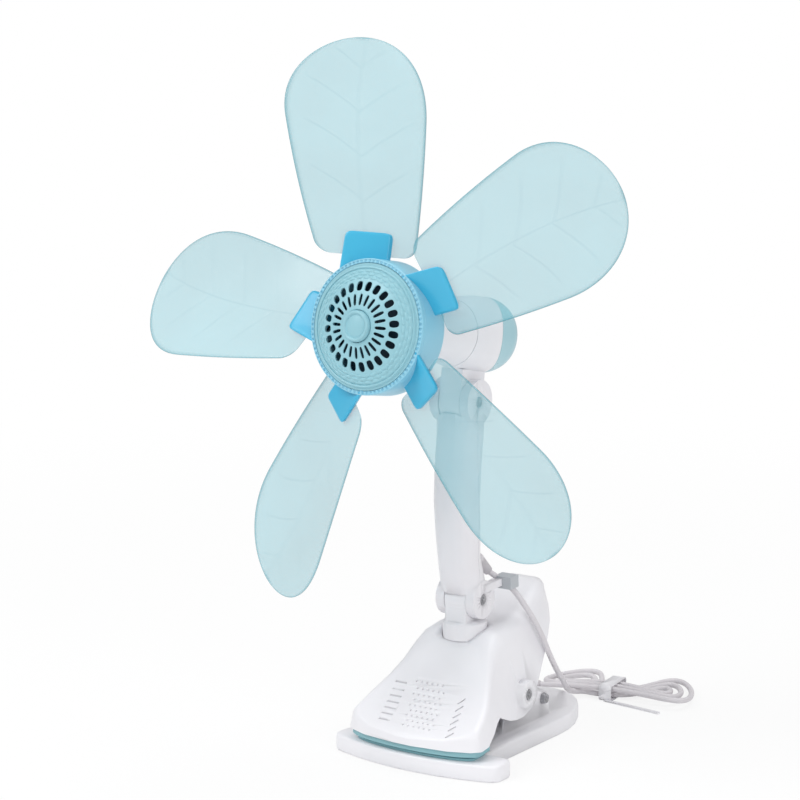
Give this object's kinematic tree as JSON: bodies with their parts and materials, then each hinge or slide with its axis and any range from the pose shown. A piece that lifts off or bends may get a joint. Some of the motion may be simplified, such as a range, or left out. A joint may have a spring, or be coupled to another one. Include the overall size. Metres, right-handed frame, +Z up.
{
  "type": "clip fan",
  "caption": "Five-blade clip-on desk fan with a spring clamp, a jointed arm, a round grilled hub and a tied mains lead.",
  "frame": {"origin": "middle of the base plate's underside, on the surface the fan stands on", "axes": "+Z up, -Y the way the fan faces and blows, +X to the right seen from the front"},
  "size_m": [0.3379, 0.3356, 0.457],
  "materials": {
    "white_plastic": "satin",
    "clear_blue_plastic": "gloss",
    "cyan_plastic": "satin",
    "hub_blue": "satin",
    "grille_blue": "satin",
    "tinted_cap": "gloss",
    "teal_rubber": "matte",
    "steel": "satin",
    "iron": "matte",
    "copper": "satin",
    "bronze": "matte",
    "flex": "satin",
    "grey_rubber": "matte"
  },
  "bodies": {
    "base": {"base_plate": "white_plastic", "lower_grip_pad": "teal_rubber", "stop_pin": "steel", "torsion_spring": "iron", "pivot_bolt": "steel", "pivot_nut": "steel", "power_cord": "flex", "cord_hank": "flex", "cord_tie": "white_plastic", "plug_body": "flex", "plug_pin_1": "steel", "plug_pin_2": "steel"},
    "lever": {"top_jaw": "white_plastic", "upper_grip_pad": "teal_rubber", "swivel_washer": "steel", "swivel_screw": "steel"},
    "turret": {"swivel_turret": "white_plastic"},
    "arm": {"arm_front_shell": "white_plastic", "arm_rear_shell": "white_plastic", "knee_bolt": "steel", "knee_nut": "steel", "neck_bolt": "steel", "neck_nut": "steel", "strain_relief": "flex", "cord_clip": "grey_rubber"},
    "head": {"motor_housing": "white_plastic", "motor_nose_cone": "white_plastic", "rear_cap": "tinted_cap", "stator_stack": "iron", "front_windings": "copper", "rear_windings": "copper", "front_bush": "bronze", "rear_bush": "bronze"},
    "rotor": {"shaft": "steel", "rotor_core": "iron", "blade_carrier": "cyan_plastic", "hub_shell": "hub_blue", "front_grille": "grille_blue", "knurl_ring": "hub_blue", "centre_button": "grille_blue", "hub_nut": "steel", "blade_1": "clear_blue_plastic", "blade_2": "clear_blue_plastic", "blade_3": "clear_blue_plastic", "blade_4": "clear_blue_plastic", "blade_5": "clear_blue_plastic"}
  },
  "joints": [
    {"name": "clamp_pivot", "type": "hinge", "parent": "base", "child": "lever", "pos_m": [0, 0.0025, 0.0355], "axis": [-1, 0, 0], "range_deg": [0, 25], "stiffness_Nm_per_rad": 0.9, "springref_deg": -28.65, "deforming": ["torsion_spring", "power_cord"]},
    {"name": "swivel", "type": "hinge", "parent": "lever", "child": "turret", "pos_m": [0, -0.014, 0.072], "axis": [0, 0, 1], "range_deg": [-45, 45], "deforming": ["power_cord"]},
    {"name": "knee_tilt", "type": "hinge", "parent": "turret", "child": "arm", "pos_m": [0, -0.014, 0.0984], "axis": [1, 0, 0], "range_deg": [-5, 35], "deforming": ["power_cord"]},
    {"name": "neck_tilt", "type": "hinge", "parent": "arm", "child": "head", "pos_m": [0, -0.02, 0.228], "axis": [1, 0, 0], "range_deg": [-20, 20]},
    {"name": "fan_spin", "type": "hinge", "parent": "head", "child": "rotor", "pos_m": [0, -0.124, 0.28651], "axis": [0, -0.989, 0.1478], "continuous": true}
  ]
}
